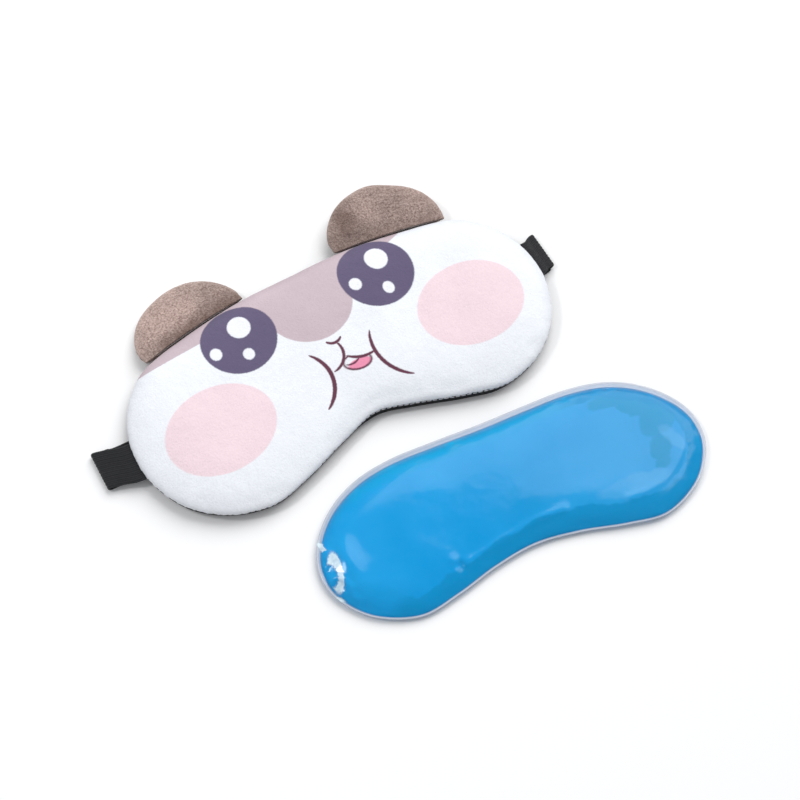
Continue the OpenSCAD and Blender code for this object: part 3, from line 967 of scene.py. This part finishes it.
def build_ear(name, rim_points, seed, plush, stuffing):
    """A stuffed half-round ear: two plush faces sewn along the rim, bending where it meets the mask."""
    mirror = -1 if name.startswith("left") else 1
    tilt = math.radians(-7 if mirror < 0 else 5)
    c, s = math.cos(SEAM_SLOPE), math.sin(SEAM_SLOPE)
    along = np.array([mirror * c, -s, 0])
    flat_out = np.array([mirror * s, c, 0])
    out = flat_out * math.cos(tilt) + np.array([0, 0, math.sin(tilt)])
    up = -flat_out * math.sin(tilt) + np.array([0, 0, math.cos(tilt)])
    origin = np.array(JOINTS[f"{name}_fold"]["pos_m"]) / MM

    rim = smooth_path(rim_points, 8)
    base_x = np.linspace(rim[-1][0], rim[0][0], 14)[1:-1]
    base = np.column_stack([base_x, 0.45 - 0.9 * (base_x / EAR_MIDDLE - 1) ** 2])
    outline = np.vstack([rim, base])

    def place(xy, z):
        return origin + xy[:, :1] * along + xy[:, 1:] * out + z[:, None] * up

    def layer(part, plan, z_top, z_low, material, slot, node):
        points, faces = shell(plan, place(*z_top), place(*z_low))
        rest = np.vstack([np.column_stack([plan.xy, z_top[1]]), np.column_stack([plan.xy, z_low[1]])])
        if mirror < 0:
            faces = [f[::-1] for f in faces]
        piece = make_object(f"{name}_{part}", points, faces, rest=rest + [0, 0, 40 * seed])
        dress(piece, material, slot, node)
        return piece

    plan = Plan(outline, 0.75, 0.6, rows=(0.0, 0.3, 0.7))
    full, to_rim = ear_heights(plan, rim, seed)
    x, y = plan.xy.T
    grain = wobble(x, y, 1.1, seed + 2) * 0.12 + wobble(x, y, 2.4, seed + 3) * 0.14
    grain *= ease(plan.depth / 0.7)
    swell = plan.out * (0.55 * bell((to_rim - 0.8) / 1.1) * ease((y - 1) / 3))[:, None]
    front_z = 0.12 + (EAR_FRONT - 0.12) * full + grain
    back_z = -0.12 - (EAR_BACK - 0.12) * full - grain
    inner = np.maximum(full - 0.22, 0.02)
    painted_rim_light = bell(to_rim / 1.6)
    # Painted light makes the parts of each ear that face the light paler; painted shade darkens the fold
    # along the seam, with a darker patch and random mottle added.
    if mirror < 0:
        pale = ease((x - 4) / 26) * ease((y + 1) / 9)
        folded = 0.8 * bell((y - 1.0) / 3.6) * ease((50 - x) / 12)
    else:
        pale = 0.35 * ease((x - 12) / 8)
        folded = np.maximum(0.35 * bell(y / 3.5), 0.75 * bell(np.hypot((x - 8.5) / 5.5, (y - 13) / 9)))
    folded = folded * (0.9 + 0.5 * wobble(x, y, 3.0, 6.6)) + 0.12 * np.maximum(wobble(x, y, 7.0, 3.6), 0)
    front_core = np.minimum(0.06 + (EAR_FRONT - 0.9) * inner, front_z - 0.05)
    back_core = np.maximum(-0.06 - (EAR_BACK - 0.7) * inner, back_z + 0.05)
    pieces = []
    for side, high, low in (
        ("front", (plan.xy + swell, front_z), (plan.xy, front_core)),
        ("back", (plan.xy, back_core), (plan.xy + swell, back_z)),
    ):
        piece = layer(f"plush_{side}", plan, high, low, plush, "ear_plush", f"{name}_{side}")
        add_masks(piece, edge=painted_rim_light, pale=pale, folded=folded)
        pieces.append(piece)

    core_plan = Plan(outline * [0.93, 0.93] + [1.9, 0.3], 1.6, rows=(0.0, 0.6))
    full, _ = ear_heights(core_plan, rim, seed)
    inner = np.maximum(full - 0.30, 0.02)
    filling = layer("stuffing", core_plan, (core_plan.xy, (EAR_FRONT - 1.2) * inner),
                    (core_plan.xy, -(EAR_BACK - 1.0) * inner), stuffing, "wadding", f"{name}_filling")
    pieces.append(filling)
    for piece in pieces:
        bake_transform(piece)


# -------- gel pack

PACK_OUTLINE = at_steps(smooth_loop(both_halves(PACK_SHAPE), 16), 1.0)
SKIN_TOP = PACK_TOP - 0.35  # inner side of the upper film, with room above it for its waves
FILM = 0.22


def weld_width(out):
    """Width of the flat weld, from the direction that the rim faces: wide above, narrow below."""
    return 1.8 + 0.9 * out[:, 1] + 0.25 * out[:, 0]


def laid_piece(name, plan, top, low, material, slot, node, **masks):
    """One layer of the pack, made over the pack's own plan, then turned and placed beside the mask."""
    points, faces = shell(plan, top, low)
    c, s = math.cos(PACK_TURN), math.sin(PACK_TURN)
    placed = points @ [[c, s, 0], [-s, c, 0], [0, 0, 1]] + [*PACK_CENTRE, 0]
    piece = make_object(name, placed, faces, rest=points)
    add_masks(piece, **masks)
    dress(piece, material, slot, node, body="gel_pack")


def crease(points, path, width):
    """How close each point is to a crease line, from 1 on it to 0."""
    return bell(nearest_on(points, smooth_path(path, 8), closed=False)[0] / width)


def pack_height(plan, top):
    """The filled pack's upper side: slack film with creases over thick gel, flat at the weld."""
    x, y = plan.xy.T
    d = plan.beyond
    body = 1 - (1 - np.clip(d / 24, 0, 1)) ** 3
    z = RIM_Z + (top - RIM_Z) * body**0.72
    slack = ease(d / 9)
    z += (wobble(x, y, 34, 2.7) * 0.45 + wobble(x, y, 15, 5.5) * 0.16) * slack
    z += along_edge(plan, 5.5, 2.2) * 0.32 * bell((d - 1.8) / 1.7) * ease(d / 0.8)
    # A soft ridge above the lower edge with a pinch at its left end, and another round the right end
    z += 0.55 * crease(plan.xy, [(-32, -23), (-18, -20.5), (0, -17.8), (17, -17.2)], 1.7)
    z += 0.4 * crease(plan.xy, [(44, -24), (56, -24), (68, -20), (77, -12.5), (82, -4)], 1.5)
    z -= 1.3 * bell(np.hypot(x + 34.5, y + 22.8) / 1.6) - 0.5 * bell(np.hypot(x + 36.5, y + 20) / 2.0)
    # A swelling at the left tip, and sharp folds where the film is gathered there
    z += 1.1 * bell((x + 77.5) / 4.2) * bell((y + 2) / 10) * slack
    for path, height, width in (
        ([(-91, 5), (-87, 8), (-83, 15)], 0.7, 1.0),
        ([(-91, -2), (-87, 0), (-84, 5)], 0.8, 1.1),
        ([(-90, -9), (-86, -7), (-83, -9), (-81, -14)], 0.8, 1.2),
        ([(-87, -15), (-83, -15), (-80, -20)], 0.5, 1.0),
    ):
        z += height * crease(plan.xy, path, width) * ease(d / 0.8)
    return z


def under_curve(beyond):
    """How the pack's underside falls from the weld, at 1, to the table, at 0."""
    return (1 - np.clip(beyond / 9, 0, 1)) ** 2.4


def pack_plan(outline, edge_step, step, rows):
    """A plan of the pack or of the gel in it, with depths measured from the pack's own rim."""
    plan = Plan(outline, edge_step, step, rows)
    plan.measure_from(PACK_OUTLINE, touching=1e-3)
    plan.weld = weld_width(plan.out)
    plan.beyond = np.maximum(plan.depth - plan.weld, 0)
    plan.curl = 0.35 * along_edge(plan, 24, 3.7) * bell(plan.depth / 4)
    return plan


def build_pack():
    """Two clear films welded round their rim, filled with blue gel."""
    rows = (0.0, 0.3, 0.7, 1.1, 1.5, 1.9, 2.4, 2.9, 3.5, 4.2)
    plan = pack_plan(PACK_OUTLINE, 1.0, 1.0, rows)
    skin = pack_height(plan, SKIN_TOP) + plan.curl
    bead = 0.14 * bell((plan.depth - 0.35) / 0.3) + 0.12 * bell((plan.depth - plan.weld) / 0.35)
    weld = ease((plan.weld + 0.3 - plan.depth) / 0.5) * (0.75 + 0.25 * bell((plan.depth - 0.3) / 0.5))
    # Beside the upper weld the film hazes a little before it clings to the gel
    haze = 0.38 * np.clip(plan.out[:, 1] + 0.3 * plan.out[:, 0], 0, 1) * bell((plan.depth - plan.weld) / 2.0)
    weld = np.maximum(weld, haze)
    clear = film()
    laid_piece("film_top", plan, stack(plan, skin + FILM + bead), stack(plan, skin),
               clear, "film", "gel_film_top", weld=weld, upper=np.repeat([1, 0], len(skin)))

    outwards = PACK_OUTLINE - inset(PACK_OUTLINE, 1.0)
    gel_edge = inset(PACK_OUTLINE, weld_width(outwards)[:, None] - 0.3)
    body = pack_plan(gel_edge, 1.0, 1.4, (0.0, 0.3, 0.7, 1.2, 1.8))
    gap = 0.05 + 0.10 * ease(body.beyond / 2)
    ceiling = stack(body, pack_height(body, SKIN_TOP) + body.curl - gap)
    floor_z = 0.32 + (RIM_Z - 0.45) * under_curve(body.beyond)
    base = stack(body, np.minimum(floor_z, ceiling[:, 2] - 0.02))
    laid_piece("gel_body", body, ceiling, base, gel(), "gel", "gel_filling", depth=body.depth)

    under = pack_plan(PACK_OUTLINE, 1.0, 2.6, rows)
    outer = (RIM_Z - 0.25) * under_curve(under.beyond)
    lift = under.curl * outer / RIM_Z
    weld = ease((under.weld + 0.3 - under.depth) / 0.5) * 0.6
    laid_piece("film_bottom", under, stack(under, outer + FILM + lift), stack(under, outer + lift),
               clear, "film", "gel_film_bottom", weld=weld)


# -------- stage and camera

FLOOR_HALF = 3
FIELD_OF_VIEW = math.radians(31.69)


def build_camera():
    """Looks down at the mask from its lower left, as the product is pictured."""
    target = Vector((12.5, -32.0, SEAM_Z)) * MM
    azimuth, elevation, distance = math.radians(-29.57), math.radians(64.83), 0.6308
    back = Vector((
        math.sin(azimuth) * math.cos(elevation),
        -math.cos(azimuth) * math.cos(elevation),
        math.sin(elevation),
    ))
    data = bpy.data.cameras.new("camera")
    data.sensor_width = 36
    data.lens = data.sensor_width / 2 / math.tan(FIELD_OF_VIEW / 2)
    data.clip_start = 0.01
    camera = add_object("camera", data)
    camera.location = target + back * distance
    camera.rotation_euler = back.to_track_quat("Z", "Y").to_euler()
    bpy.context.scene.camera = camera


def build_stage():
    """Pale floor and soft studio light."""
    mesh = bpy.data.meshes.new("floor")
    mesh.from_pydata([(x * FLOOR_HALF, y * FLOOR_HALF, 0) for x, y in ((-1, -1), (1, -1), (1, 1), (-1, 1))],
                     [], [[0, 1, 2, 3]])
    floor = add_object("floor", mesh)
    floor.location.z = -0.0002
    paper = bpy.data.materials.new("paper")
    paper.use_nodes = True
    surface = paper.node_tree.nodes["Principled BSDF"]
    looks = {"Base Color": (0.95, 0.95, 0.95, 1), "Roughness": 0.9, "Specular IOR Level": 0.1}
    for key, value in looks.items():
        surface.inputs[key].default_value = value
    mesh.materials.append(paper)

    world = bpy.data.worlds.new("world")
    bpy.context.scene.world = world
    world.use_nodes = True
    sky = world.node_tree.nodes["Background"]
    sky.inputs["Color"].default_value = (0.96, 0.975, 1.0, 1)
    sky.inputs["Strength"].default_value = 0.5

    for name, place, size, power in (
        ("key", (1.60, 0.96, 1.82), 2.5, 62.0),
        ("glint", (-0.43, 0.215, 0.70), 0.12, 1.2),
    ):
        light = bpy.data.lights.new(name, "AREA")
        light.size = size
        light.energy = power
        lamp = add_object(name, light)
        lamp.location = place
        lamp.rotation_euler = Vector(place).to_track_quat("Z", "Y").to_euler()
    bpy.context.scene.view_settings.view_transform = "Standard"


build_camera()
build_stage()
build_front()
build_inner_layers()
back_cloth = build_back()
black_thread = build_seams()
build_closure(back_cloth, black_thread)
build_strap()
brown_plush, ear_wadding = ear_plush(), wadding()
build_ear("left_ear", LEFT_RIM, 1, brown_plush, ear_wadding)
build_ear("right_ear", RIGHT_RIM, 2, brown_plush, ear_wadding)
build_pack()
